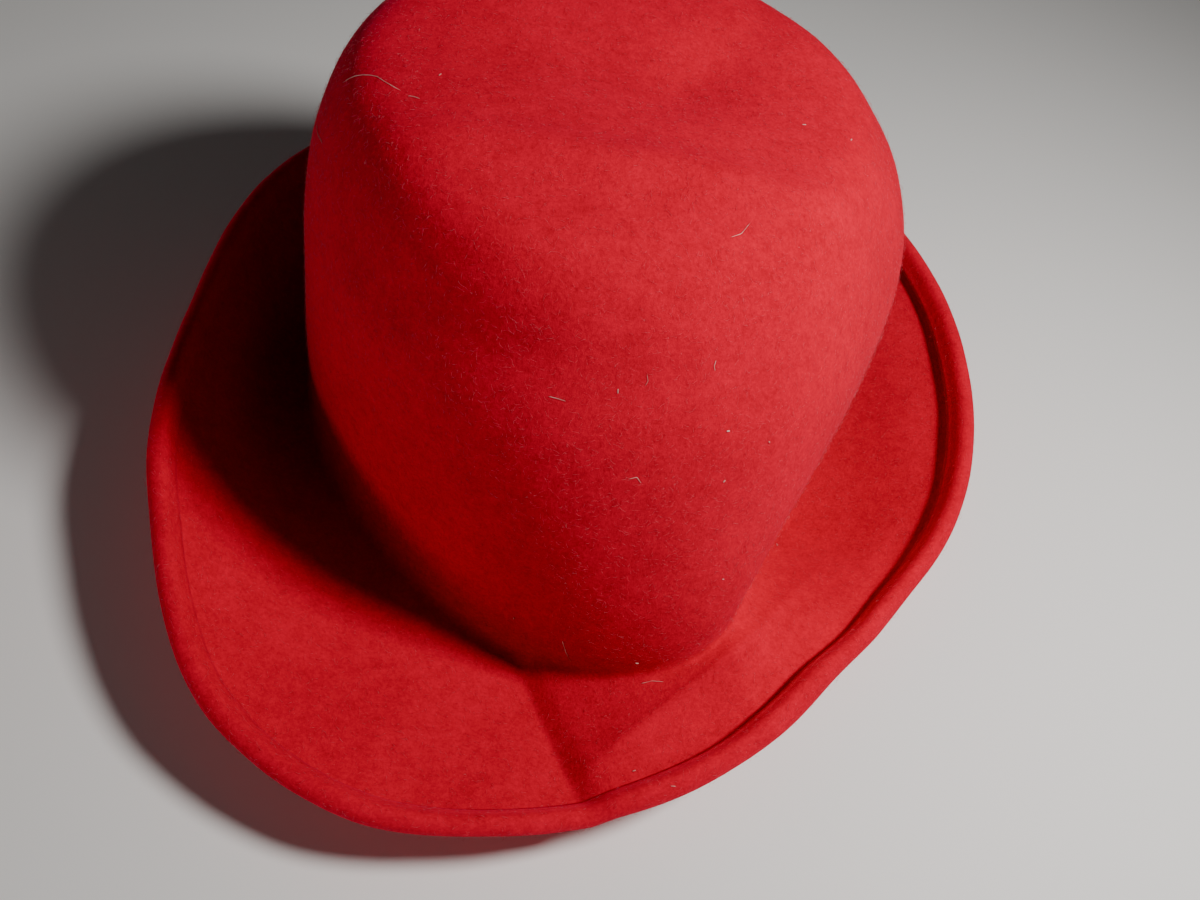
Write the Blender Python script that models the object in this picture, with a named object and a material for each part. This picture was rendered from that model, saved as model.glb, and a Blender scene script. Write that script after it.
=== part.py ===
"""Soft felt hat, blocked from one piece of felt.

A tall crown leans back from a pointed front, a brim turns up all round from a short
flat strip, and the brim's edge is turned over towards the crown as a hem. Front is -Y,
up is +Z and the hat rests on the strip at Z = 0. Lengths are in metres.

The block sheet is the inner and under side of the felt. It is a grid: rings round the
hat, from the crown's top down to the brim and over the hem to the cut edge. The other
sheet lies one felt thickness off it.
"""

import bmesh
import bpy
import numpy as np

# Named sizes, each of which can be changed by itself
HEAD_WIDTH = 0.164      # head opening from side to side
HEAD_LENGTH = 0.198     # head opening from front to back
CROWN_HEIGHT = 0.150    # resting strip to the inside of the crown's top
FELT = 0.002            # felt thickness
BREAK_RADIUS = 0.0045   # bend from the crown wall into the brim, under side
REST_WIDTH = 0.004      # flat strip that the hat rests on
BRIM_REACH = 0.080      # head line to the foot of the lip, where it is widest
BRIM_RISE = 0.033       # foot of the lip above the rest, where it is highest
LIP_LENGTH = 0.0108     # steeper lip outside its foot
LIP_BEND = 0.62         # share of the lip that bends at its foot
FLAT_ARM = 0.30         # pull of the flat strip on the brim's curve, share of its run
LIP_ARM = 0.25          # pull of the lip on that curve
HEM_WIDTH = 0.010       # turned hem, from the edge to the cut
HEM_GAP = 0.0006        # air between the brim and the hem at the cut
ROLL_GAP = 0.0026       # air inside the roll at the edge
FOLD_HEIGHT = 0.028     # raised fold in the front of the brim and of the head line
FOLD_SOFT = 0.040       # distance over which it falls in front of its crest
FOLD_DEPTH = 0.085      # height of the crown wall that takes up the lift
FOLD_PUSH = 0.006       # forward push of the raised head line
PUSH_REACH = 0.035      # distance from the head line over which the push fades
VALLEY_WIDTH = 0.008    # width of the step beside the valley
CREST_HEIGHT = 0.0025   # narrow ridge along the crest
CREST_WIDTH = 0.005     # half width of that ridge
CREST_START = 0.012     # distance over which it rises from the head line

# Crown: height share, width share, length share, shift back, shift right, narrowing of
# the front, shares of the panel's and of the shoulder's swell; shifts are shares of the
# head length and width
CROWN = (
    (1.000, 0.00, 0.00, 0.105, 0.052, 0.00, 0.00, 0.00),
    (0.997, 0.39, 0.30, 0.102, 0.038, 0.02, 0.00, 0.25),
    (0.988, 0.69, 0.54, 0.099, 0.024, 0.03, 0.05, 0.50),
    (0.963, 0.89, 0.71, 0.094, 0.016, 0.04, 0.20, 0.62),
    (0.897, 1.01, 0.81, 0.088, 0.025, 0.05, 0.50, 0.58),
    (0.790, 1.12, 0.88, 0.075, 0.047, 0.07, 0.80, 0.38),
    (0.660, 1.18, 0.94, 0.050, 0.058, 0.08, 1.00, 0.32),
    (0.500, 1.16, 0.98, 0.028, 0.052, 0.13, 1.00, 0.29),
    (0.320, 1.09, 0.99, 0.005, 0.027, 0.22, 1.00, 0.29),
    (0.120, 1.00, 1.00, -0.010, -0.003, 0.28, 1.00, 0.29),
    (0.040, 1.00, 1.00, -0.010, -0.001, 0.30, 1.00, 0.29),
)
# Places of the crown's rings among those rows
CROWN_RINGS = (0.35, 0.8, 1.3, 1.8, 2.3, 2.8, 3.3, 3.8, 4.4, 5.2, 6.1, 7.0, 8.0, 9.0, 10.0)
# Flattened right panel and full left shoulder of the front: angle from the front and
# spread in degrees, and swell as a share of the radius
PANEL = (46.0, 30.0, -0.095)
SHOULDER = (-50.0, 26.0, 0.12)

# Brim: angle from the front towards +X, reach share, rise share, lip lean
BRIM = (
    (0, 0.42, 0.20, 40),
    (15, 0.41, 0.24, 42),
    (30, 0.53, 0.40, 44),
    (60, 0.72, 0.72, 44),
    (90, 0.84, 0.82, 42),
    (120, 0.94, 0.88, 43),
    (150, 0.82, 0.91, 48),
    (180, 0.64, 0.96, 52),
    (210, 0.50, 0.94, 56),
    (240, 0.43, 0.84, 58),
    (270, 0.70, 0.77, 48),
    (300, 0.94, 0.52, 36),
    (315, 0.88, 0.47, 34),
    (330, 0.70, 0.43, 36),
    (345, 0.53, 0.30, 38),
)

# Fold: its valley in x and both ends of its crest, as shares of the head width and the
# head length, and how far its front reaches in, as shares of the head length
VALLEY_SIDE = -0.262
FOLD_CREST = ((0.095, -0.530), (-0.290, -0.675))
FOLD_FRONT = (0.24, 0.40)
VALLEY_STEP = 0.08      # share of the height taken in the step beside the valley
FOLD_POWER = 0.95       # shape of the slope from the valley to the crest; 1 is straight
# Where the fold and its ridge have faded right of the crest, as shares of its length
FOLD_END = 1.15
CREST_END = 0.25

# Dents and ridges of the crown: centre (shares of head width, head length and crown
# height), direction, half length, half width (shares of the head length), depth in
# felt thicknesses, where a minus sign raises the felt
DENTS = (
    ((-0.03, -0.12, 0.98), (0.93, -0.37, 0.00), 0.36, 0.045, -1.2),
    ((0.06, 0.12, 1.00), (0.93, -0.37, 0.00), 0.30, 0.140, 2.4),
    ((0.20, 0.12, 1.00), (0.80, 0.60, 0.00), 0.20, 0.055, 0.8),
    ((0.24, -0.36, 0.45), (0.60, 0.20, 0.77), 0.16, 0.070, 0.7),
    ((-0.50, 0.02, 0.62), (0.00, 0.70, 0.70), 0.16, 0.080, 0.9),
)

AROUND = 72     # grid steps round the hat
CROWDING = 0.30 # how far they crowd together at the front; 0 is evenly
FELT_RED = (0.50, 0.004, 0.012, 1.0)


def smooth(values, low, high):
    """Return 0 below low, 1 above high and a smooth step between them."""
    share = np.clip((values - low) / (high - low), 0.0, 1.0)
    return share * share * (3.0 - 2.0 * share)


def hermite(step, first, second, slope_first, slope_second):
    """Return the cubic between two values with given slopes, for step 0 to 1."""
    return ((2 * step**3 - 3 * step**2 + 1) * first + (step**3 - 2 * step**2 + step) * slope_first
            + (3 * step**2 - 2 * step**3) * second + (step**3 - step**2) * slope_second)


def crown_rows(places):
    """Return the crown's table columns at places between its rows."""
    rows = np.array(CROWN)
    slopes = np.gradient(rows, axis=0)
    slopes[0, 0] = 0.0
    places = np.asarray(places)
    index = np.clip(places.astype(int), 0, len(rows) - 2)
    step = (places - index)[:, None]
    return hermite(step, rows[index], rows[index + 1], slopes[index], slopes[index + 1])


def brim_column(column, degrees):
    """Return one column of the brim's table at any angle round the hat."""
    table = np.array(BRIM)
    angles = np.concatenate([table[:, 0] - 360.0, table[:, 0], table[:, 0] + 360.0])
    values = np.tile(table[:, column], 3)
    slopes = np.gradient(values, angles)
    index = np.searchsorted(angles, degrees, side="right") - 1
    gap = angles[index + 1] - angles[index]
    step = (degrees - angles[index]) / gap
    return hermite(step, values[index], values[index + 1], slopes[index] * gap,
                   slopes[index + 1] * gap)


def swell(phi, side):
    """Return the share of the radius that one side of the front is filled out by."""
    middle, spread, height = side
    away = np.mod(phi - np.radians(middle) + np.pi, 2 * np.pi) - np.pi
    return height * np.exp(-(away / np.radians(spread))**2)


def oval(row, phi):
    """Return x and y of a crown ring: an oval with a shaped front, moved off centre."""
    width, length, back, right, narrowing, panel, shoulder = row[1:]
    full = 0.5 * (1.0 + panel * swell(phi, PANEL) + shoulder * swell(phi, SHOULDER))
    x = HEAD_WIDTH * (width * np.sin(phi) * (1.0 - narrowing * np.cos(phi)) * full + right)
    y = HEAD_LENGTH * (-length * np.cos(phi) * full + back)
    return x, y


def crown_rings(phi):
    """Return the rings of the crown, top first."""
    rings = []
    for row in crown_rows(CROWN_RINGS):
        x, y = oval(row, phi)
        rings.append(np.stack([x, y, np.full_like(x, CROWN_HEIGHT * row[0])], axis=-1))
    return rings


def brim_sections(degrees):
    """Return the brim's profile as rings of reach from the head line and rise.

    It bends off the wall, runs flat along the resting strip, rises to the foot of the
    lip, bends up into the lip and turns over at the edge into the hem.
    """
    reach = BRIM_REACH * brim_column(1, degrees)
    rise = BRIM_RISE * brim_column(2, degrees)
    lean = np.radians(brim_column(3, degrees))
    level = np.zeros_like(degrees)
    rings = []
    for angle in np.radians((0.0, 30.0, 60.0, 90.0)):
        rings.append((level + BREAK_RADIUS * (1 - np.cos(angle)),
                      level + BREAK_RADIUS * (1 - np.sin(angle))))
    start = np.stack([level + BREAK_RADIUS + REST_WIDTH, level], axis=-1)
    foot = np.stack([reach, rise], axis=-1)
    slope = foot - start
    length = np.linalg.norm(slope, axis=1)[:, None]
    slope /= length
    up = np.stack([np.cos(lean), np.sin(lean)], axis=-1)
    inward = np.stack([-np.sin(lean), np.cos(lean)], axis=-1)
    bend = LIP_LENGTH * LIP_BEND
    before, after, edge = foot - slope * bend, foot + up * bend, foot + up * LIP_LENGTH
    near = start + np.array([FLAT_ARM, 0.0]) * length
    far = before - LIP_ARM * length * slope
    points = []
    for step in (0.0, 0.2, 0.4, 0.6, 0.8, 1.0):
        points.append((1 - step)**3 * start + 3 * (1 - step)**2 * step * near
                      + 3 * (1 - step) * step**2 * far + step**3 * before)
    for step in (0.33, 0.67, 1.0):
        points.append((1 - step)**2 * before + 2 * (1 - step) * step * foot + step**2 * after)
    points.append(edge)
    turn = FELT + ROLL_GAP / 2
    for angle in np.radians((30.0, 60.0, 90.0, 120.0, 150.0, 180.0)):
        points.append(edge + turn * ((1 - np.cos(angle)) * inward + np.sin(angle) * up))
    for share in (0.5, 1.0):
        height = 2 * turn - (ROLL_GAP - HEM_GAP) * smooth(share, 0.0, 1.0)
        points.append(edge + height * inward - share * (HEM_WIDTH - turn) * up)
    return rings + [(point[:, 0], point[:, 1]) for point in points]


def front_fold(grid, reach):
    """Raise the front, the crown's wall less and less further up, and push it forwards.

    The lift grows from the valley to the crest, falls away in front of the crest and
    fades to the right of it.
    """
    scale = np.array([HEAD_WIDTH, HEAD_LENGTH])
    first, last = np.array(FOLD_CREST[0]) * scale, np.array(FOLD_CREST[1]) * scale
    length = np.linalg.norm(last - first)
    along = (last - first) / length
    forward = np.array([along[1], -along[0]])
    if forward[1] > 0:
        forward = -forward
    offset = grid[..., :2] - first
    share, off = offset @ along / length, offset @ forward
    left = VALLEY_SIDE * HEAD_WIDTH
    way = np.clip((grid[..., 0] - left) / (first[0] - left), 0.0, 1.0)
    rise = (VALLEY_STEP * smooth(grid[..., 0], left, left + VALLEY_WIDTH)
            + (1 - VALLEY_STEP) * way**FOLD_POWER) * (1 - smooth(-share, 0.0, FOLD_END))
    ridge = (np.exp(-np.abs(off) / CREST_WIDTH) * smooth(reach, 0.0, CREST_START)
             * (1 - smooth(-share, 0.0, CREST_END)))
    front = smooth(-grid[..., 1] / HEAD_LENGTH, *FOLD_FRONT)
    wall = np.where(reach < 0, 1 - smooth(grid[..., 2], 0.0, FOLD_DEPTH), 1.0)
    lift = rise * np.exp(-np.clip(off, 0.0, None) / FOLD_SOFT) * front * wall
    grid[..., 2] += FOLD_HEIGHT * lift + CREST_HEIGHT * ridge * rise * wall
    grid[..., 1] -= FOLD_PUSH * lift * (1 - smooth(reach, 0.0, PUSH_REACH))


def normals(grid):
    """Return unit normals of a grid of closed rings, out of the crown."""
    down = np.gradient(grid, axis=0)
    around = np.roll(grid, -1, axis=1) - np.roll(grid, 1, axis=1)
    normal = np.cross(down, around)
    return normal / np.linalg.norm(normal, axis=-1, keepdims=True)


def dent(grid):
    """Push the crown in along its normals at each row of the table of dents."""
    scale = np.array([HEAD_WIDTH, HEAD_LENGTH, CROWN_HEIGHT])
    depth = np.zeros(grid.shape[:2])
    for centre, direction, half_length, half_width, layers in DENTS:
        axis = np.array(direction) / np.linalg.norm(direction)
        offset = grid - np.array(centre) * scale
        run = offset @ axis
        off = np.linalg.norm(offset, axis=-1)**2 - run**2
        depth += layers * FELT * np.exp(-(run / (half_length * HEAD_LENGTH))**2
                                        - off / (half_width * HEAD_LENGTH)**2)
    return grid - normals(grid) * depth[..., None]


def block_sheet():
    """Return the block sheet as a grid of rings, and the point at the crown's top."""
    turn = np.arange(AROUND) * 2 * np.pi / AROUND
    phi = turn - CROWDING * np.sin(turn)
    rings = crown_rings(phi)
    head = rings[-1][:, :2]
    tangent = np.roll(head, -1, axis=0) - np.roll(head, 1, axis=0)
    outward = np.stack([tangent[:, 1], -tangent[:, 0]], axis=-1)
    outward /= np.linalg.norm(outward, axis=1)[:, None]
    reach = [np.full(AROUND, -1.0)] * len(rings)
    for section_reach, section_rise in brim_sections(np.degrees(phi) % 360.0):
        flat = head + outward * section_reach[:, None]
        rings.append(np.column_stack([flat, section_rise]))
        reach.append(section_reach)
    grid = np.stack(rings)
    reach = np.stack(reach)
    front_fold(grid, reach)
    grid = dent(grid)
    return grid, np.array([grid[0, :, 0].mean(), grid[0, :, 1].mean(), grid[0, :, 2].max()])


def felt_mesh():
    """Return the closed felt body, centred over the origin."""
    inner, inner_top = block_sheet()
    outer = inner + normals(inner) * FELT
    outer_top = inner_top + np.array([0.0, 0.0, FELT])
    points = np.concatenate([inner.reshape(-1, 3), outer.reshape(-1, 3), [inner_top, outer_top]])
    middle = (points.min(axis=0) + points.max(axis=0)) / 2
    points[:, :2] -= middle[:2]
    rings, count = inner.shape[0], AROUND
    top = 2 * rings * count
    faces = []
    for sheet in (0, 1):
        base = sheet * rings * count
        for i in range(rings - 1):
            for j in range(count):
                k = (j + 1) % count
                faces.append((base + i * count + j, base + (i + 1) * count + j,
                              base + (i + 1) * count + k, base + i * count + k))
        for j in range(count):
            faces.append((top + sheet, base + j, base + (j + 1) % count))
    cut = (rings - 1) * count
    for j in range(count):
        k = (j + 1) % count
        faces.append((cut + j, cut + k, cut + k + rings * count, cut + j + rings * count))
    mesh = bpy.data.meshes.new("felt_hat")
    mesh.from_pydata(points.tolist(), [], faces)
    body = bmesh.new()
    body.from_mesh(mesh)
    bmesh.ops.recalc_face_normals(body, faces=body.faces)
    body.to_mesh(mesh)
    body.free()
    mesh.shade_smooth()
    return mesh


def felt_material():
    """Return the red felt's material."""
    material = bpy.data.materials.new("red_felt")
    material.use_nodes = True
    shader = material.node_tree.nodes["Principled BSDF"]
    shader.inputs["Base Color"].default_value = FELT_RED
    shader.inputs["Roughness"].default_value = 0.95
    shader.inputs["Metallic"].default_value = 0.0
    return material


def main():
    """Build the hat."""
    for item in list(bpy.data.objects):
        bpy.data.objects.remove(item)
    mesh = felt_mesh()
    mesh.materials.append(felt_material())
    hat = bpy.data.objects.new("felt_hat", mesh)
    bpy.context.scene.collection.objects.link(hat)


main()
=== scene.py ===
"""Looks of a soft red felt hat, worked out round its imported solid.

The hat is one piece of felt: a tall crown that leans back from a pointed front, a brim
that turns up all round with a raised fold in its front, and the brim's edge turned over
towards the crown as a hem. The felt is a closed shell on a fine grid, with a nap of short
fibres and a little pale lint on it. Front is -Y, up is +Z and lengths are in metres.
"""

import logging
import math
from dataclasses import dataclass, field
from enum import Enum

import bpy
import numpy as np
from mathutils import Matrix, Vector
from mathutils.bvhtree import BVHTree


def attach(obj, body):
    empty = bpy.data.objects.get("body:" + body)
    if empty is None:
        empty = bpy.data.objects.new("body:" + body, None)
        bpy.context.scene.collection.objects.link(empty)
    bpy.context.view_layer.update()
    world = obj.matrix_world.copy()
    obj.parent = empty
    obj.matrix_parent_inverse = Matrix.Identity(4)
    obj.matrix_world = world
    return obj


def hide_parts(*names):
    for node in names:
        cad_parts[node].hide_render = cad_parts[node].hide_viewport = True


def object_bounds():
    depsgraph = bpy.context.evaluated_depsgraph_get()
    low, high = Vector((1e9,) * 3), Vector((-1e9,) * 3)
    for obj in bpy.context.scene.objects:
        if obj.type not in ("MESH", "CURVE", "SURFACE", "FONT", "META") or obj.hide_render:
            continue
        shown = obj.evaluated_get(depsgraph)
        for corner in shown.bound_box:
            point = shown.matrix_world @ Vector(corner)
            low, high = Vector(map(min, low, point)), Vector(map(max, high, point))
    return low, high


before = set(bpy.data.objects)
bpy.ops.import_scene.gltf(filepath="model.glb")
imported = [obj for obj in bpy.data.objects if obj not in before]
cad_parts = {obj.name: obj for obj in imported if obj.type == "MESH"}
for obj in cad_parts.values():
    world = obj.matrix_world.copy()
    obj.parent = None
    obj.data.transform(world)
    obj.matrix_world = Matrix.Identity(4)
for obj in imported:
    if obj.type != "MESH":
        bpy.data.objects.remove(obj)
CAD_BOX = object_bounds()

Array = np.ndarray
Pixel = tuple[float, float]
Colour = tuple[float, float, float, float]

PHOTO_WIDTH = 1200
PHOTO_HEIGHT = 900
FULL_TURN = 360.0

# Places of a colour Mix node's sockets
MIX_FIRST, MIX_SECOND, MIX_RESULT = 6, 7, 2

log = logging.getLogger("felt_hat")


class Sheet(Enum):
    """The two sides of the felt."""

    UNDER = "under"
    UPPER = "upper"


class Zone(Enum):
    """The parts of the hat that the nap is laid on."""

    CROWN = "crown"
    BRIM = "brim"


def smooth(values: Array, low: float, high: float) -> Array:
    """Step smoothly from 0 to 1: three squares less two cubes of the share of the way.

    Args:
        values: Numbers of any shape.
        low: Value at and below which the step is 0.
        high: Value at and above which it is 1.

    Returns:
        The step at each value.
    """
    share = np.clip((values - low) / (high - low), 0.0, 1.0)
    return share * share * (3.0 - 2.0 * share)


def unit(vectors: Array) -> Array:
    """Return vectors divided by their lengths."""
    return vectors / np.linalg.norm(vectors, axis=-1, keepdims=True)


def hermite(step: Array, first: Array, second: Array, leave: Array, arrive: Array) -> Array:
    """Join two values by the cubic that leaves and arrives with given slopes.

    Args:
        step: Share of the way, from 0 to 1.
        first: Value at 0.
        second: Value at 1.
        leave: Slope at 0.
        arrive: Slope at 1.

    Returns:
        The cubic's value at each step.
    """
    square, cube = step**2, step**3
    return ((2 * cube - 3 * square + 1) * first + (cube - 2 * square + step) * leave
            + (3 * square - 2 * cube) * second + (cube - square) * arrive)


def new_mesh(name: str, points: Array, *blocks: Array) -> bpy.types.Mesh:
    """Make a smooth-shaded mesh from whole arrays.

    Args:
        name: The mesh's name.
        points: Corners, one row of x, y, z each.
        blocks: Arrays of faces; each array's rows have one number of corners.

    Returns:
        The mesh, with its edges worked out.
    """
    mesh = bpy.data.meshes.new(name)
    corners = np.concatenate([block.ravel() for block in blocks])
    totals = np.concatenate([np.full(len(block), block.shape[1]) for block in blocks])
    starts = np.cumsum(totals) - totals
    mesh.vertices.add(len(points))
    mesh.vertices.foreach_set("co", points.astype(np.float32).ravel())
    mesh.loops.add(len(corners))
    mesh.loops.foreach_set("vertex_index", corners.astype(np.int32))
    mesh.polygons.add(len(totals))
    mesh.polygons.foreach_set("loop_start", starts.astype(np.int32))
    mesh.update(calc_edges=True)
    mesh.validate()
    mesh.shade_smooth()
    return mesh


def new_object(name: str, mesh: bpy.types.Mesh, material: bpy.types.Material) -> bpy.types.Object:
    """Put a mesh with its material into the scene.

    Args:
        name: The object's name.
        mesh: Its mesh, in its place.
        material: Its only material.

    Returns:
        The object, at the origin.
    """
    mesh.materials.append(material)
    item = bpy.data.objects.new(name, mesh)
    bpy.context.scene.collection.objects.link(item)
    return item


@dataclass(frozen=True)
class Block:
    """The wooden block's main sizes, which the whole hat follows."""

    head_width: float = 0.164
    head_length: float = 0.198
    crown_height: float = 0.150
    felt: float = 0.002


@dataclass
class Crown:
    """The crown, as ovals stacked from its top down to the head line.

    Each row: height share, width share, length share, shift back, shift right, narrowing
    of the front, and the shares of the swell by which its right panel is flattened and its
    left shoulder filled out. Shifts are shares of the head's length and width.
    """

    block: Block
    rows: tuple[tuple[float, ...], ...] = (
        (1.000, 0.00, 0.00, 0.105, 0.052, 0.00, 0.00, 0.00),
        (0.997, 0.39, 0.30, 0.102, 0.038, 0.02, 0.00, 0.25),
        (0.988, 0.69, 0.54, 0.099, 0.024, 0.03, 0.05, 0.50),
        (0.963, 0.89, 0.71, 0.094, 0.016, 0.04, 0.20, 0.62),
        (0.897, 1.01, 0.81, 0.088, 0.025, 0.05, 0.50, 0.58),
        (0.790, 1.12, 0.88, 0.075, 0.047, 0.07, 0.80, 0.38),
        (0.660, 1.18, 0.94, 0.050, 0.058, 0.08, 1.00, 0.32),
        (0.500, 1.16, 0.98, 0.028, 0.052, 0.13, 1.00, 0.29),
        (0.320, 1.09, 0.99, 0.005, 0.027, 0.22, 1.00, 0.29),
        (0.120, 1.00, 1.00, -0.010, -0.003, 0.28, 1.00, 0.29),
        (0.040, 1.00, 1.00, -0.010, -0.001, 0.30, 1.00, 0.29),
    )
    first_place: float = 0.10
    panel: tuple[float, float, float] = (46.0, 30.0, -0.095)
    shoulder: tuple[float, float, float] = (-50.0, 26.0, 0.12)

    def swell(self, phi: Array, side: tuple[float, float, float]) -> Array:
        """Work out how far one side of the front is filled out: a bell curve round the hat.

        Args:
            phi: Angles round the hat.
            side: The bell's middle and spread in degrees, and its height.

        Returns:
            The share of the radius that is added at each angle.
        """
        middle, spread, height = side
        away = np.mod(phi - math.radians(middle) + math.pi, 2 * math.pi) - math.pi
        return height * np.exp(-(away / math.radians(spread))**2)

    def rings(self, phi: Array, count: int) -> Array:
        """Work out the crown's rings.

        An oval has x = half width * sin(phi) * (1 - narrowing * cos(phi)) and
        y = -half length * cos(phi), both times 1 plus the swell of both sides, moved by
        its shifts. The table's columns run from row to row as cubics.

        Args:
            phi: Angles round the hat, from the front towards +X.
            count: How many rings to make.

        Returns:
            Points in an array of rings by angles by 3, the top ring first.
        """
        rows = np.array(self.rows)
        slopes = np.gradient(rows, axis=0)
        slopes[0, 0] = 0.0
        places = np.linspace(self.first_place, len(rows) - 1, count)
        index = np.clip(places.astype(int), 0, len(rows) - 2)
        step = (places - index)[:, None]
        values = hermite(step, rows[index], rows[index + 1], slopes[index], slopes[index + 1])
        columns = (column[:, None] for column in values.T)
        height, width, length, back, right, narrowing, panel, shoulder = columns
        swell = (1 + panel * self.swell(phi, self.panel)
                 + shoulder * self.swell(phi, self.shoulder))
        x = self.block.head_width * (
            0.5 * width * np.sin(phi) * (1 - narrowing * np.cos(phi)) * swell + right)
        y = self.block.head_length * (-0.5 * length * np.cos(phi) * swell + back)
        z = np.broadcast_to(self.block.crown_height * height, x.shape)
        return np.stack([x, y, z], axis=-1)


@dataclass
class Brim:
    """The brim and its turned hem, as one profile that varies round the hat.

    Each row: angle from the front towards +X, the shares of the reach and the rise, and
    the lip's lean in degrees.
    """

    block: Block
    break_radius: float = 0.0045
    rest_width: float = 0.004
    reach: float = 0.080
    rise: float = 0.033
    flat_arm: float = 0.30
    lip_arm: float = 0.25
    lip: float = 0.0108
    lip_bend: float = 0.62
    hem_width: float = 0.010
    hem_gap: float = 0.0006
    roll_gap: float = 0.0026
    rows: tuple[tuple[float, ...], ...] = (
        (0, 0.42, 0.20, 40),
        (15, 0.41, 0.24, 42),
        (30, 0.53, 0.40, 44),
        (60, 0.72, 0.72, 44),
        (90, 0.84, 0.82, 42),
        (120, 0.94, 0.88, 43),
        (150, 0.82, 0.91, 48),
        (180, 0.64, 0.96, 52),
        (210, 0.50, 0.94, 56),
        (240, 0.43, 0.84, 58),
        (270, 0.70, 0.77, 48),
        (300, 0.94, 0.52, 36),
        (315, 0.88, 0.47, 34),
        (330, 0.70, 0.43, 36),
        (345, 0.53, 0.30, 38),
    )
    break_steps: int = 8
    slope_steps: int = 30
    foot_steps: int = 8
    roll_steps: int = 12
    flap_steps: int = 5

    def column(self, number: int, degrees: Array) -> Array:
        """Read one column of the table at any angles, as cubics that close on themselves.

        Args:
            number: Which column, counted from the angle's.
            degrees: Angles round the hat.

        Returns:
            The column's value at each angle.
        """
        table = np.array(self.rows)
        angles = np.concatenate([table[:, 0] + lap for lap in (-FULL_TURN, 0.0, FULL_TURN)])
        values = np.tile(table[:, number], 3)
        slopes = np.gradient(values, angles)
        index = np.searchsorted(angles, degrees, side="right") - 1
        gap = angles[index + 1] - angles[index]
        return hermite((degrees - angles[index]) / gap, values[index], values[index + 1],
                       slopes[index] * gap, slopes[index + 1] * gap)

    def profile(self, degrees: Array) -> Array:
        """Work out the brim's profile at each angle.

        A quarter circle bends off the crown's wall, a cubic Bezier runs flat along the
        resting strip and up the brim, a quadratic one bends at the lip's foot, a straight
        lip ends at the edge, a half circle rolls over it, and the flap comes back down.

        Args:
            degrees: Angles round the hat.

        Returns:
            Reach from the head line and rise, in an array of steps by angles by 2.
        """
        level = np.zeros_like(degrees)
        turn = np.radians(np.linspace(0.0, 90.0, self.break_steps))[:, None]
        bend = self.break_radius * np.stack(
            [level + 1 - np.cos(turn), level + 1 - np.sin(turn)], axis=-1)
        start = np.stack([level + self.break_radius + self.rest_width, level], axis=-1)
        foot = np.stack([self.reach * self.column(1, degrees),
                         self.rise * self.column(2, degrees)], axis=-1)
        lean = np.radians(self.column(3, degrees))
        up = np.stack([np.cos(lean), np.sin(lean)], axis=-1)
        inward = np.stack([-np.sin(lean), np.cos(lean)], axis=-1)
        length = np.linalg.norm(foot - start, axis=-1, keepdims=True)
        slope = (foot - start) / length
        bend_length = self.lip * self.lip_bend
        before, after = foot - slope * bend_length, foot + up * bend_length
        edge = foot + up * self.lip
        near = start + np.array([self.flat_arm, 0.0]) * length
        far = before - slope * length * self.lip_arm
        step = np.linspace(0.0, 1.0, self.slope_steps)[:, None, None]
        face = ((1 - step)**3 * start + 3 * (1 - step)**2 * step * near
                + 3 * (1 - step) * step**2 * far + step**3 * before)
        step = np.linspace(0.0, 1.0, self.foot_steps + 1)[1:, None, None]
        corner = (1 - step)**2 * before + 2 * (1 - step) * step * foot + step**2 * after
        radius = self.block.felt + self.roll_gap / 2
        turn = np.radians(np.linspace(0.0, 180.0, self.roll_steps))[:, None, None]
        roll = edge + radius * ((1 - np.cos(turn)) * inward + np.sin(turn) * up)
        step = np.linspace(0.0, 1.0, self.flap_steps + 1)[1:, None, None]
        narrowing = (self.roll_gap - self.hem_gap) * smooth(step, 0.0, 1.0)
        flap = edge + (2 * radius - narrowing) * inward - step * (self.hem_width - radius) * up
        return np.concatenate([bend, face, corner, roll, flap])


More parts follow.
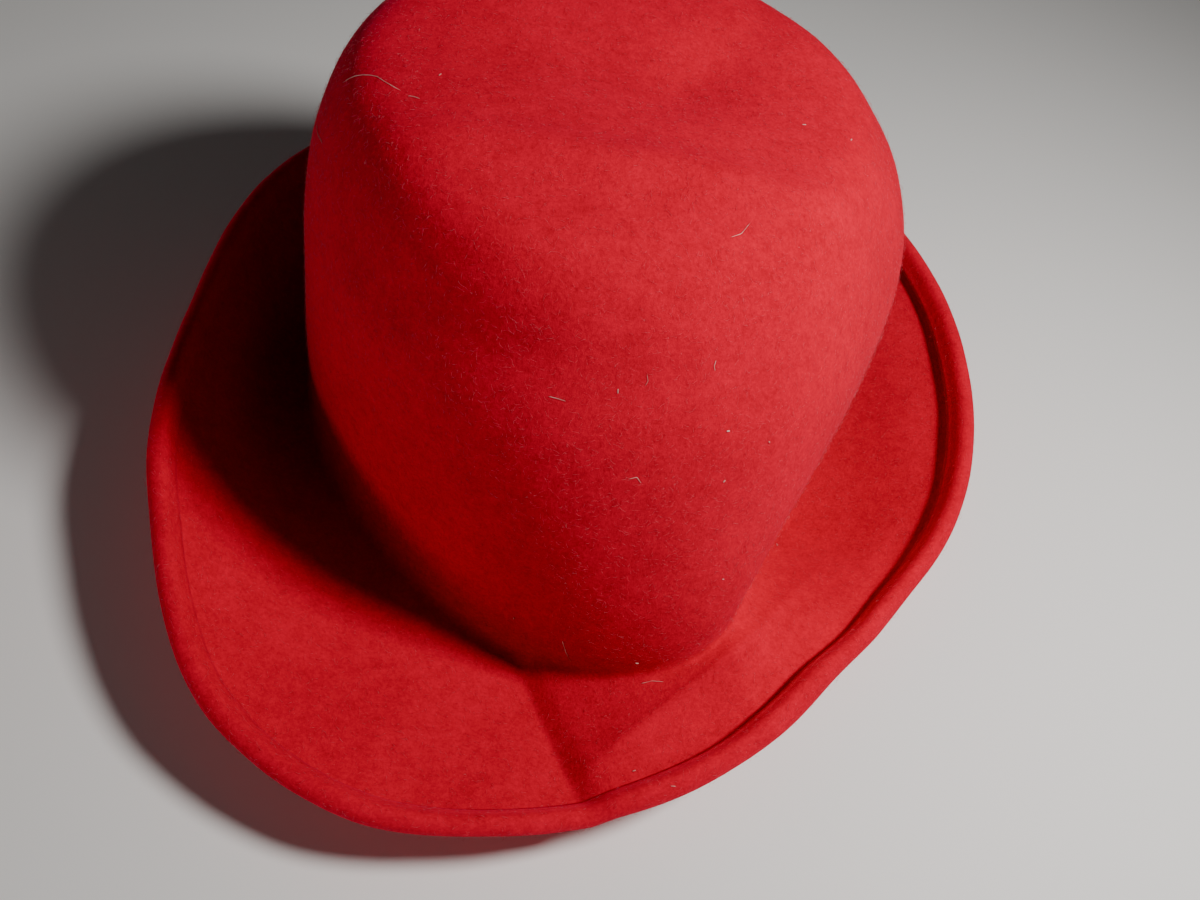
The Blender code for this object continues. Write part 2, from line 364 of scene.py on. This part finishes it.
@dataclass
class Fold:
    """The front of the brim and of the head line, pushed up into a fold.

    It rises evenly from a valley on its left to a crest that runs from the crown's nose
    to the valley's end, and falls away in front of the crest. Places are shares of the
    head's width and length.
    """

    block: Block
    height: float = 0.028
    valley: float = -0.262
    valley_step: float = 0.08
    valley_width: float = 0.008
    power: float = 0.95
    crest: tuple[tuple[float, float], ...] = ((0.095, -0.530), (-0.290, -0.675))
    crest_height: float = 0.0025
    crest_width: float = 0.005
    crest_start: float = 0.012
    crest_end: float = 0.25
    soft: float = 0.040
    right_end: float = 1.15
    front: tuple[float, float] = (0.24, 0.40)
    depth: float = 0.085
    push: float = 0.006
    push_reach: float = 0.035

    def raise_grid(self, grid: Array, reach: Array) -> None:
        """Raise a grid and push it forwards, the crown's wall less and less further up.

        The height is a step and a power of the share of the way in x from the valley to
        the crest's start, times an exponential fall in front of the crest and a smooth
        fade past its start, plus a narrow exponential ridge on the crest.

        Args:
            grid: Points of the felt, changed in place.
            reach: Distance out of the head line, below 0 on the crown.
        """
        scale = np.array([self.block.head_width, self.block.head_length])
        first, last = np.array(self.crest) * scale
        length = np.linalg.norm(last - first)
        along = (last - first) / length
        forward = np.array([along[1], -along[0]])
        forward *= -np.sign(forward[1])
        offset = grid[..., :2] - first
        share, off = offset @ along / length, offset @ forward
        left = self.valley * scale[0]
        way = (grid[..., 0] - left) / (first[0] - left)
        rise = (self.valley_step * smooth(grid[..., 0], left, left + self.valley_width)
                + (1 - self.valley_step) * np.clip(way, 0.0, 1.0)**self.power)
        fall = np.exp(-np.clip(off, 0.0, None) / self.soft)
        fade = 1 - smooth(-share, 0.0, self.right_end)
        ridge = (self.crest_height * np.exp(-np.abs(off) / self.crest_width)
                 * smooth(reach, 0.0, self.crest_start) * (1 - smooth(-share, 0.0, self.crest_end)))
        front = smooth(-grid[..., 1] / scale[1], *self.front)
        wall = np.where(reach < 0, 1 - smooth(grid[..., 2], 0.0, self.depth), 1.0)
        lift = rise * fall * fade * front
        grid[..., 2] += (self.height * lift + ridge * rise * fade) * wall
        grid[..., 1] -= self.push * lift * wall * (1 - smooth(reach, 0.0, self.push_reach))


@dataclass
class Dents:
    """Dents and ridges of the crown.

    Each row: centre (shares of head width, head length and crown height), direction, half
    length and half width (shares of the head length), depth in felt thicknesses, where a
    minus sign raises the felt.
    """

    block: Block
    rows: tuple[tuple, ...] = (
        ((-0.03, -0.12, 0.99), (0.93, -0.37, 0.00), 0.36, 0.040, -1.5),
        ((0.06, 0.10, 1.00), (0.93, -0.37, 0.00), 0.30, 0.130, 2.8),
        ((0.20, 0.12, 1.00), (0.80, 0.60, 0.00), 0.20, 0.055, 0.8),
        ((0.24, -0.36, 0.45), (0.60, 0.20, 0.77), 0.16, 0.070, 0.7),
        ((-0.50, 0.02, 0.62), (0.00, 0.70, 0.70), 0.16, 0.080, 0.9),
    )

    def depth(self, grid: Array) -> Array:
        """Add up the dents: each is a bell curve along and across its direction.

        Args:
            grid: Points of the felt.

        Returns:
            How far in each point is pushed.
        """
        scale = np.array([self.block.head_width, self.block.head_length, self.block.crown_height])
        total = np.zeros(grid.shape[:2])
        for centre, direction, half_length, half_width, layers in self.rows:
            offset = grid - np.array(centre) * scale
            run = offset @ unit(np.array(direction))
            off = np.linalg.norm(offset, axis=-1)**2 - run**2
            total += layers * self.block.felt * np.exp(
                -(run / (half_length * self.block.head_length))**2
                - off / (half_width * self.block.head_length)**2)
        return total


@dataclass
class Unevenness:
    """The slight waviness of hand-blocked felt, as a sum of random plane waves."""

    waves: int = 36
    longest: float = 0.075
    shortest: float = 0.020
    depth: float = 0.00012
    clear_of_rest: tuple[float, float] = (0.003, 0.014)
    seed: int = 11

    def depth_at(self, grid: Array) -> Array:
        """Add up the waves, each as high as it is long, and leave the rest strip flat.

        Args:
            grid: Points of the felt.

        Returns:
            How far out each point is moved.
        """
        rng = np.random.default_rng(self.seed)
        heading = unit(rng.normal(size=(self.waves, 3)))
        length = np.exp(rng.uniform(math.log(self.shortest), math.log(self.longest), self.waves))
        phase = rng.uniform(0.0, 2 * math.pi, self.waves)
        angle = grid @ (heading * (2 * math.pi / length)[:, None]).T + phase
        wave = (np.sin(angle) * length).sum(axis=-1)
        scale = np.sqrt(0.5 * (length**2).sum())
        return self.depth * wave / scale * smooth(grid[..., 2], *self.clear_of_rest)


@dataclass(frozen=True)
class FeltFinish:
    """Matt wool felt: dyed red, mottled, with matted fibres and a velvety sheen."""

    name: str = "red_felt"
    deep: Colour = (0.42, 0.0, 0.012, 1.0)
    bright: Colour = (0.76, 0.0, 0.030, 1.0)
    roughness: float = 0.92
    specular: float = 0.12
    sheen: float = 0.35
    sheen_roughness: float = 0.45
    sheen_tint: Colour = (1.0, 0.01, 0.09, 1.0)
    cloud_size: float = 0.030
    mottle_size: float = 0.0042
    grain_size: float = 0.0011
    fibre_size: float = 0.0006
    colour_weights: tuple[float, ...] = (0.16, 0.22, 0.34, 0.28)
    colour_range: tuple[float, float] = (0.36, 0.64)
    relief_weights: tuple[float, ...] = (0.16, 0.48, 0.36)
    relief: float = 0.00045
    relief_strength: float = 0.75

    def material(self) -> bpy.types.Material:
        """Build the material.

        Noise at four scales mixes the deep and the bright dye, and the three finer ones,
        the finest of them strongly distorted into curls, raise the felt's relief.

        Returns:
            The material.
        """
        made = MaterialMaker(self.name)
        clouds = made.noise(self.cloud_size, detail=2.0)
        mottle = made.noise(self.mottle_size, detail=3.0)
        grain = made.noise(self.grain_size, detail=4.0, rough=0.65)
        fibres = made.noise(self.fibre_size, detail=3.0, distortion=2.2)
        blend = made.weigh(*zip((clouds, mottle, grain, fibres), self.colour_weights))
        share = made.stretch(blend, *self.colour_range)
        colour = made.mix(share, self.deep, self.bright)
        made.link(colour, "Base Color")
        height = made.weigh(*zip((mottle, grain, fibres), self.relief_weights))
        made.bump(height, self.relief, self.relief_strength)
        made.set("Roughness", self.roughness)
        made.set("Specular IOR Level", self.specular)
        made.set("Sheen Weight", self.sheen)
        made.set("Sheen Roughness", self.sheen_roughness)
        made.set("Sheen Tint", self.sheen_tint)
        return made.material


@dataclass(frozen=True)
class FibreFinish:
    """Single fibres, of one colour that varies a little from place to place."""

    name: str
    deep: Colour
    bright: Colour
    patch_size: float = 0.003
    colour_range: tuple[float, float] = (0.35, 0.65)
    roughness: float = 0.75
    specular: float = 0.2
    sheen: float = 0.4

    def material(self) -> bpy.types.Material:
        """Build the material: noise finer than a fibre's length mixes the two colours."""
        made = MaterialMaker(self.name)
        share = made.stretch(made.noise(self.patch_size, detail=1.0), *self.colour_range)
        made.link(made.mix(share, self.deep, self.bright), "Base Color")
        made.set("Roughness", self.roughness)
        made.set("Specular IOR Level", self.specular)
        made.set("Sheen Weight", self.sheen)
        return made.material


@dataclass(frozen=True)
class FloorFinish:
    """The pale floor's plain matt paint."""

    name: str = "pale_floor"
    colour: Colour = (0.88, 0.88, 0.87, 1.0)
    roughness: float = 0.9
    specular: float = 0.1

    def material(self) -> bpy.types.Material:
        """Build the material, one flat pale colour."""
        made = MaterialMaker(self.name)
        made.set("Base Color", self.colour)
        made.set("Roughness", self.roughness)
        made.set("Specular IOR Level", self.specular)
        return made.material


class MaterialMaker:
    """A node material with one Principled shader, and short ways to add to it."""

    def __init__(self, name: str) -> None:
        """Start an empty material on Object coordinates.

        Args:
            name: The material's name.
        """
        self.material = bpy.data.materials.new(name)
        self.material.use_nodes = True
        self.tree = self.material.node_tree
        self.shader = self.tree.nodes["Principled BSDF"]
        self.place = self.tree.nodes.new("ShaderNodeTexCoord").outputs["Object"]

    def set(self, socket: str, value: float | Colour) -> None:
        """Set one of the shader's sockets."""
        self.shader.inputs[socket].default_value = value

    def link(self, output: bpy.types.NodeSocket, socket: str) -> None:
        """Link an output to one of the shader's sockets."""
        self.tree.links.new(output, self.shader.inputs[socket])

    def noise(self, size: float, detail: float, rough: float = 0.55,
              distortion: float = 0.0) -> bpy.types.NodeSocket:
        """Add a noise texture.

        Args:
            size: Width of its blots, in metres.
            detail: How many octaves finer it goes.
            rough: How strong the finer octaves are.
            distortion: How far its blots are curled.

        Returns:
            The noise's value.
        """
        node = self.tree.nodes.new("ShaderNodeTexNoise")
        node.inputs["Scale"].default_value = 1.0 / size
        node.inputs["Detail"].default_value = detail
        node.inputs["Roughness"].default_value = rough
        node.inputs["Distortion"].default_value = distortion
        self.tree.links.new(self.place, node.inputs["Vector"])
        return node.outputs["Fac"]

    def weigh(self, *parts: tuple[bpy.types.NodeSocket, float]) -> bpy.types.NodeSocket:
        """Add outputs up, each times its weight.

        Args:
            parts: Pairs of an output and its weight.

        Returns:
            The sum.
        """
        total = None
        for output, weight in parts:
            node = self.tree.nodes.new("ShaderNodeMath")
            node.operation = "MULTIPLY_ADD"
            node.inputs[1].default_value = weight
            node.inputs[2].default_value = 0.0
            self.tree.links.new(output, node.inputs[0])
            if total is not None:
                self.tree.links.new(total, node.inputs[2])
            total = node.outputs[0]
        return total

    def stretch(self, output: bpy.types.NodeSocket, low: float,
                high: float) -> bpy.types.NodeSocket:
        """Stretch the values between low and high to run from 0 to 1.

        Args:
            output: The values.
            low: Value that becomes 0.
            high: Value that becomes 1.

        Returns:
            The stretched values, clamped.
        """
        node = self.tree.nodes.new("ShaderNodeMapRange")
        node.inputs["From Min"].default_value = low
        node.inputs["From Max"].default_value = high
        self.tree.links.new(output, node.inputs["Value"])
        return node.outputs["Result"]

    def mix(self, share: bpy.types.NodeSocket, first: Colour,
            second: Colour) -> bpy.types.NodeSocket:
        """Mix two colours.

        Args:
            share: The second colour's share.
            first: Colour at 0.
            second: Colour at 1.

        Returns:
            The mixed colour.
        """
        node = self.tree.nodes.new("ShaderNodeMix")
        node.data_type = "RGBA"
        node.inputs[MIX_FIRST].default_value = first
        node.inputs[MIX_SECOND].default_value = second
        self.tree.links.new(share, node.inputs[0])
        return node.outputs[MIX_RESULT]

    def bump(self, height: bpy.types.NodeSocket, distance: float, strength: float) -> None:
        """Raise the shader's surface by a height from 0 to 1.

        Args:
            height: The height's share.
            distance: The relief's full height.
            strength: How strongly it shades.
        """
        node = self.tree.nodes.new("ShaderNodeBump")
        node.inputs["Distance"].default_value = distance
        node.inputs["Strength"].default_value = strength
        self.tree.links.new(height, node.inputs["Height"])
        self.link(node.outputs["Normal"], "Normal")


@dataclass
class FeltSheet:
    """One side of the felt: a grid of closed rings, its normals and each row's reach."""

    points: Array
    normals: Array
    reach: Array

    def quads(self, first: int) -> Array:
        """Return the grid's quads, with the crown's top ring first.

        Args:
            first: Number of the grid's first corner.

        Returns:
            Four corners for each cell, turning so that the first sheet's cells face in.
        """
        rings, around = self.points.shape[:2]
        i = np.arange(rings - 1)[:, None]
        j = np.arange(around)[None, :]
        k = (j + 1) % around
        here, below = i * around, (i + 1) * around
        cells = np.stack([here + j, here + k, below + k, below + j], axis=-1)
        return first + cells.reshape(-1, 4)


@dataclass
class FeltHat:
    """The felt's shell, as fine as its limit on triangles lets it be."""

    block: Block = field(default_factory=Block)
    finish: FeltFinish = field(default_factory=FeltFinish)
    around: int = 320
    crowding: float = 0.30
    upper_rings: int = 118
    under_rings: int = 44

    def __post_init__(self) -> None:
        """Make the parts that share the block, and find the plan's middle."""
        self.crown = Crown(self.block)
        self.brim = Brim(self.block)
        self.fold = Fold(self.block)
        self.dents = Dents(self.block)
        self.unevenness = Unevenness()
        self.middle = np.zeros(3)
        points = np.concatenate([self.sheet(side).points.reshape(-1, 3) for side in Sheet])
        cad_middle = (np.array(CAD_BOX[0]) + np.array(CAD_BOX[1])) / 2
        self.middle = (points.min(axis=0) + points.max(axis=0)) / 2 - cad_middle
        self.middle[2] = 0.0

    def normals(self, grid: Array) -> Array:
        """Return a grid's unit normals, out of the crown: down crossed with round."""
        down = np.gradient(grid, axis=0)
        around = np.roll(grid, -1, axis=1) - np.roll(grid, 1, axis=1)
        return unit(np.cross(down, around))

    def sheet(self, side: Sheet) -> FeltSheet:
        """Work out one side of the felt.

        The rings of the crown and then of the brim's profile, set off square to the head
        line, are folded and dented. The upper side lies one thickness off them.
        The angles crowd together in front, by t - crowding * sin(t).

        Args:
            side: Which side.

        Returns:
            The side's grid.
        """
        turn = np.arange(self.around) * 2 * math.pi / self.around
        phi = turn - self.crowding * np.sin(turn)
        count = self.upper_rings if side is Sheet.UPPER else self.under_rings
        crown = self.crown.rings(phi, count)
        head = crown[-1, :, :2]
        tangent = np.roll(head, -1, axis=0) - np.roll(head, 1, axis=0)
        outward = unit(np.stack([tangent[:, 1], -tangent[:, 0]], axis=-1))
        profile = self.brim.profile(np.degrees(phi) % FULL_TURN)
        plan = head + outward * profile[..., :1]
        brim = np.concatenate([plan, profile[..., 1:]], axis=-1)
        grid = np.concatenate([crown, brim])
        reach = np.concatenate([np.full(crown.shape[:2], -1.0), profile[..., 0]])
        self.fold.raise_grid(grid, reach)
        depth = self.dents.depth(grid) - self.unevenness.depth_at(grid)
        grid = grid - self.normals(grid) * depth[..., None]
        normals = self.normals(grid)
        if side is Sheet.UPPER:
            grid = grid + normals * self.block.felt
        return FeltSheet(grid - self.middle, normals, reach)

    def build(self) -> bpy.types.Object:
        """Join both sides at the crown's top and along the cut edge.

        Returns:
            The hat's object.
        """
        under, upper = self.sheet(Sheet.UNDER), self.sheet(Sheet.UPPER)
        start = under.points.shape[0] * self.around
        end = start + upper.points.shape[0] * self.around
        tops = np.stack([sheet.points[0].mean(axis=0) for sheet in (under, upper)])
        points = np.concatenate([under.points.reshape(-1, 3), upper.points.reshape(-1, 3), tops])
        j = np.arange(self.around)
        k = (j + 1) % self.around
        cut_under, cut_upper = start - self.around, end - self.around
        cut = np.stack([cut_under + j, cut_under + k, cut_upper + k, cut_upper + j], axis=-1)
        caps = np.concatenate([np.stack([np.full_like(j, end), k, j], axis=-1),
                               np.stack([np.full_like(j, end + 1), start + j, start + k], axis=-1)])
        quads = np.concatenate([under.quads(0), upper.quads(start)[:, ::-1], cut])
        mesh = new_mesh("felt_shell", points, quads, caps)
        return new_object("felt_shell", mesh, self.finish.material())


def strands(paths: Array, radii: Array, reference: Array) -> tuple[Array, Array]:
    """Make closed three-sided strands, pointed at both ends.

    Each inner point of a path gets a triangle of corners square to the path. Its corners
    lie at 0, 120 and 240 degrees between the side, path cross reference, and the back.

    Args:
        paths: Points in an array of strands by points by 3.
        radii: Radius in an array of strands by inner points.
        reference: One direction for each strand that it doesn't run along.

    Returns:
        Corners, and triangles that face outwards.
    """
    count, length = paths.shape[:2]
    inner = paths[:, 1:-1]
    along = unit(paths[:, 2:] - paths[:, :-2])
    side = unit(np.cross(along, reference[:, None, :]))
    back = np.cross(along, side)
    turn = np.radians([0.0, 120.0, 240.0])
    ring = (side[:, :, None, :] * np.cos(turn)[:, None]
            + back[:, :, None, :] * np.sin(turn)[:, None])
    corners = inner[:, :, None, :] + ring * radii[:, :, None, None]
    points = np.concatenate([paths[:, :1], corners.reshape(count, -1, 3), paths[:, -1:]], axis=1)
    size = points.shape[1]
    i = np.arange(3)
    k = (i + 1) % 3
    tips = [np.stack([np.zeros(3, int), 1 + k, 1 + i], axis=-1),
            np.stack([np.full(3, size - 1), size - 4 + i, size - 4 + k], axis=-1)]
    sides = []
    for step in range(length - 3):
        low, high = 1 + 3 * step, 4 + 3 * step
        sides += [np.stack([low + i, low + k, high + k], axis=-1),
                  np.stack([low + i, high + k, high + i], axis=-1)]
    one = np.concatenate(tips + sides)
    faces = (np.arange(count) * size)[:, None, None] + one
    return points.reshape(-1, 3), faces.reshape(-1, 3)


@dataclass
class Nap:
    """Short fibres that stand out of the felt, on one zone of one hat."""

    hat: FeltHat
    zone: Zone
    finish: FibreFinish
    count: int = 30000
    shortest: float = 0.0010
    longest: float = 0.0032
    radius: float = 0.000028
    rise: float = 0.30
    highest_end: float = 1.4
    bend_spread: float = 0.35
    bend_share: float = 0.25
    sunk: float = 0.0001
    floor: float = 0.0001
    seed: int = 5

    def cells(self) -> tuple[Array, Array]:
        """Gather the corners and the normals of the zone's cells.

        Returns:
            Corners, and their normals, each in an array of cells by 4 by 3.
        """
        upper, under = self.hat.sheet(Sheet.UPPER), self.hat.sheet(Sheet.UNDER)
        gathered = []
        for sheet, sign in ((upper, 1.0), (under, -1.0)):
            crown = sheet.reach[:-1] < 0
            if self.zone is Zone.CROWN:
                chosen = crown & (sign > 0)
            else:
                chosen = ~crown
            cells = sheet.quads(0)[chosen.ravel()]
            flat, normals = sheet.points.reshape(-1, 3), sheet.normals.reshape(-1, 3) * sign
            gathered.append((flat[cells], normals[cells]))
        return tuple(np.concatenate(parts) for parts in zip(*gathered))

    def build(self) -> bpy.types.Object:
        """Scatter the fibres evenly over the zone and join them into one mesh.

        A fibre starts just under the surface, heads off in a random direction, arches by
        a share of its length and ends near the surface again or clear of it.

        Returns:
            The nap's object.
        """
        rng = np.random.default_rng(self.seed)
        corners, normals = self.cells()
        diagonals = corners[:, 2:] - corners[:, :2]
        area = np.linalg.norm(np.cross(diagonals[:, 0], diagonals[:, 1]), axis=-1)
        picked = rng.choice(len(area), self.count, p=area / area.sum())
        u, v = rng.random((2, self.count, 1))
        weights = np.stack([(1 - u) * (1 - v), u * (1 - v), u * v, (1 - u) * v], axis=1)
        root = (corners[picked] * weights).sum(axis=1)
        normal = unit((normals[picked] * weights).sum(axis=1))
        across = unit(np.cross(normal, rng.normal(size=(self.count, 3))))
        bend = np.cross(normal, across) * rng.normal(scale=self.bend_spread, size=(self.count, 1))
        length = rng.uniform(self.shortest, self.longest, (self.count, 1))
        rise = self.rise * rng.random((self.count, 1)) * length
        end = rng.random((self.count, 1)) * self.highest_end
        sway = bend * length * self.bend_share
        middle = root + across * length / 2 + normal * rise + sway
        tip = root + across * length + normal * rise * end - sway
        paths = np.stack([root - normal * self.sunk, middle, tip], axis=1)
        paths[..., 2] = np.maximum(paths[..., 2], self.floor)
        radii = np.full((self.count, 1), self.radius)
        points, faces = strands(paths, radii, normal)
        name = f"nap_{self.zone.value}"
        return new_object(name, new_mesh(name, points, faces), self.finish.material())


@dataclass(frozen=True)
class Shot:
    """The camera's place: it looks at a point of the hat from a distance and angles."""

    target: tuple[float, float, float] = (-0.00972, -0.03122, 0.030)
    distance: float = 0.402
    azimuth: float = -33.0
    elevation: float = 50.0
    roll: float = 17.0
    lens: float = 35.0
    sensor: float = 36.0

    def axes(self) -> tuple[Vector, Vector, Vector]:
        """Work out the picture's right, its up and the way back to the camera.

        Returns:
            The three unit directions, with the roll applied.
        """
        angles = (self.azimuth, self.elevation, self.roll)
        azimuth, elevation, roll = (math.radians(angle) for angle in angles)
        back = Vector((math.sin(azimuth) * math.cos(elevation),
                       -math.cos(azimuth) * math.cos(elevation), math.sin(elevation)))
        level = Vector((0.0, 0.0, 1.0)).cross(back).normalized()
        upright = back.cross(level)
        right = level * math.cos(roll) + upright * math.sin(roll)
        return right, back.cross(right), back

    def place(self) -> Vector:
        """Return the camera's place."""
        return Vector(self.target) + self.axes()[2] * self.distance

    def ray(self, pixel: Pixel) -> Vector:
        """Return the direction in which the camera sees a pixel of the photograph.

        Args:
            pixel: Its x and y, in the photograph's own pixels.

        Returns:
            The unit direction away from the camera.
        """
        right, up, back = self.axes()
        scale = self.sensor / self.lens / PHOTO_WIDTH
        x = (pixel[0] - PHOTO_WIDTH / 2) * scale
        y = (PHOTO_HEIGHT / 2 - pixel[1]) * scale
        return (right * x + up * y - back).normalized()

    def build(self) -> None:
        """Make the camera and set it as the scene's."""
        right, up, back = self.axes()
        data = bpy.data.cameras.new("camera")
        data.lens = self.lens
        data.sensor_width = self.sensor
        camera = bpy.data.objects.new("camera", data)
        turned = Matrix((right, up, back)).transposed().to_4x4()
        turned.translation = self.place()
        camera.matrix_world = turned
        bpy.context.scene.collection.objects.link(camera)
        bpy.context.scene.camera = camera


@dataclass
class Lint:
    """Pale hairs and specks that lie on the felt.

    The long hairs lie along named pixels of the photograph, seen through the camera, and the specks
    lie at named pixels too, each turned a random way.
    """

    hat: bpy.types.Object
    shot: Shot
    finish: FibreFinish
    hairs: tuple[tuple[Pixel, ...], ...] = (
        ((343, 83), (352, 77), (364, 75), (376, 76), (388, 84), (401, 91)),
        ((317, 125), (318, 134), (323, 144)),
        ((628, 479), (637, 477), (641, 483)),
        ((548, 396), (556, 398), (566, 401)),
        ((729, 238), (741, 234), (750, 223)),
        ((647, 374), (648, 381), (645, 386)),
        ((572, 664), (566, 652), (562, 640)),
        ((640, 684), (652, 681), (664, 682)),
        ((408, 96), (414, 97), (420, 99)),
        ((716, 360), (714, 366), (715, 371)),
    )
    specks: tuple[Pixel, ...] = (
        (440, 75), (804, 125), (851, 140), (618, 391), (728, 431), (769, 442), (724, 481),
        (514, 618), (637, 663), (634, 771), (673, 786), (723, 579), (777, 545),
    )
    steps: int = 9
    hair_radius: float = 0.00009
    speck_radius: float = 0.00022
    speck_length: float = 0.0012
    speck_lengths: tuple[float, float] = (0.6, 1.4)
    speck_widths: tuple[float, float] = (0.6, 1.2)
    lift: float = 0.00012
    seed: int = 3

    def lay(self, tree: BVHTree, pixels: tuple[Pixel, ...]) -> tuple[Array, Array]:
        """Lay a hair on the felt along some pixels.

        Args:
            tree: The hat's faces.
            pixels: The hair's points in the photograph.

        Returns:
            The hair's points, and the felt's normal under its middle.
        """
        place = np.linspace(0, len(pixels) - 1, self.steps)
        x, y = (np.interp(place, range(len(pixels)), column) for column in zip(*pixels))
        hits = [tree.ray_cast(self.shot.place(), self.shot.ray(pixel)) for pixel in zip(x, y)]
        points = np.array([hit[0] + hit[1] * self.lift for hit in hits])
        return points, np.array(hits[self.steps // 2][1])

    def build(self) -> bpy.types.Object:
        """Make all the hairs and specks as one mesh.

        Returns:
            The lint's object.
        """
        rng = np.random.default_rng(self.seed)
        tree = BVHTree.FromPolygons([corner.co for corner in self.hat.data.vertices],
                                    [face.vertices for face in self.hat.data.polygons])
        laid = [self.lay(tree, pixels) for pixels in self.hairs]
        radii = [np.full(self.steps - 2, self.hair_radius)] * len(laid)
        for pixel in self.specks:
            point, normal, _, _ = tree.ray_cast(self.shot.place(), self.shot.ray(pixel))
            heading = unit(np.cross(np.array(normal), rng.normal(size=3)))
            run = np.linspace(-0.5, 0.5, self.steps)[:, None]
            middle = np.array(point) + np.array(normal) * self.lift
            length = self.speck_length * rng.uniform(*self.speck_lengths)
            laid.append((middle + heading * run * length, np.array(normal)))
            radius = self.speck_radius * rng.uniform(*self.speck_widths)
            radii.append(np.full(self.steps - 2, radius))
        paths, normals = (np.stack(parts) for parts in zip(*laid))
        points, faces = strands(paths, np.stack(radii), normals)
        return new_object("lint", new_mesh("lint", points, faces), self.finish.material())


@dataclass
class Studio:
    """A pale floor, a soft key light, a weak low side light and a weaker even fill."""

    shot: Shot
    floor_size: float = 6.0
    floor_gap: float = 0.0003
    floor_finish: FloorFinish = field(default_factory=FloorFinish)
    key_turn: float = -21.0
    key_elevation: float = 56.0
    key_distance: float = 0.56
    key_size: float = 0.13
    key_power: float = 3.7
    side_turn: float = 215.0
    side_elevation: float = 4.0
    side_distance: float = 1.00
    side_size: float = 0.20
    side_power: float = 2.2
    colour: tuple[float, float, float] = (1.0, 0.97, 0.94)
    fill: float = 0.012

    def floor(self) -> bpy.types.Object:
        """Lay the floor just under the hat.

        Returns:
            The floor's object.
        """
        half, z = self.floor_size / 2, -self.floor_gap
        points = np.array([(-half, -half, z), (half, -half, z), (half, half, z), (-half, half, z)])
        mesh = new_mesh("floor", points, np.array([[0, 1, 2, 3]]))
        return new_object("floor", mesh, self.floor_finish.material())

    def lamp(self, name: str, turn: float, elevation: float, distance: float, size: float,
             power: float) -> None:
        """Hang a round lamp that shines at the camera's target.

        Args:
            name: The lamp's name.
            turn: Its turn from the picture's right, anticlockwise from above, in degrees.
            elevation: Its angle above the floor, in degrees.
            distance: Its distance from the target.
            size: Its diameter.
            power: Its power in watts.
        """
        right = self.shot.axes()[0]
        level = math.atan2(right.y, right.x) + math.radians(turn)
        raised = math.radians(elevation)
        towards = Vector((math.cos(level) * math.cos(raised), math.sin(level) * math.cos(raised),
                          math.sin(raised)))
        light = bpy.data.lights.new(name, "AREA")
        light.shape = "DISK"
        light.energy = power
        light.size = size
        light.color = self.colour
        lamp = bpy.data.objects.new(name, light)
        lamp.location = Vector(self.shot.target) + towards * distance
        lamp.rotation_euler = towards.to_track_quat("Z", "Y").to_euler()
        bpy.context.scene.collection.objects.link(lamp)

    def world(self) -> None:
        """Light everything weakly and evenly."""
        world = bpy.data.worlds.new("fill")
        world.use_nodes = True
        world.node_tree.nodes["Background"].inputs["Strength"].default_value = self.fill
        world.node_tree.nodes["Background"].inputs["Color"].default_value = (1.0, 1.0, 1.0, 1.0)
        bpy.context.scene.world = world

    def build(self) -> None:
        """Set up the floor, the lights and the camera."""
        self.floor()
        self.lamp("key", self.key_turn, self.key_elevation, self.key_distance, self.key_size,
                  self.key_power)
        self.lamp("side", self.side_turn, self.side_elevation, self.side_distance, self.side_size,
                  self.side_power)
        self.world()
        self.shot.build()


def main() -> None:
    """Build the hat, its nap and its lint, and the studio round them."""
    logging.basicConfig(level=logging.INFO, format="%(name)s: %(message)s")
    shot = Shot()
    Studio(shot).build()
    hat = FeltHat()
    shell = hat.build()
    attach(shell, "root")
    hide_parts("felt_hat")
    pieces = [shell]
    nap_finish = FibreFinish("red_nap", deep=(0.42, 0.0, 0.020, 1.0),
                             bright=(0.76, 0.006, 0.060, 1.0))
    for zone in Zone:
        nap = Nap(hat, zone, nap_finish).build()
        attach(nap, "root")
        pieces.append(nap)
    lint_finish = FibreFinish("pale_lint", deep=(0.60, 0.20, 0.18, 1.0),
                              bright=(0.80, 0.48, 0.44, 1.0))
    lint = Lint(shell, shot, lint_finish).build()
    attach(lint, "root")
    pieces.append(lint)
    for piece in pieces:
        triangles = sum(len(face.vertices) - 2 for face in piece.data.polygons)
        log.info("%s: %d triangles", piece.name, triangles)


if __name__ == "__main__":
    main()
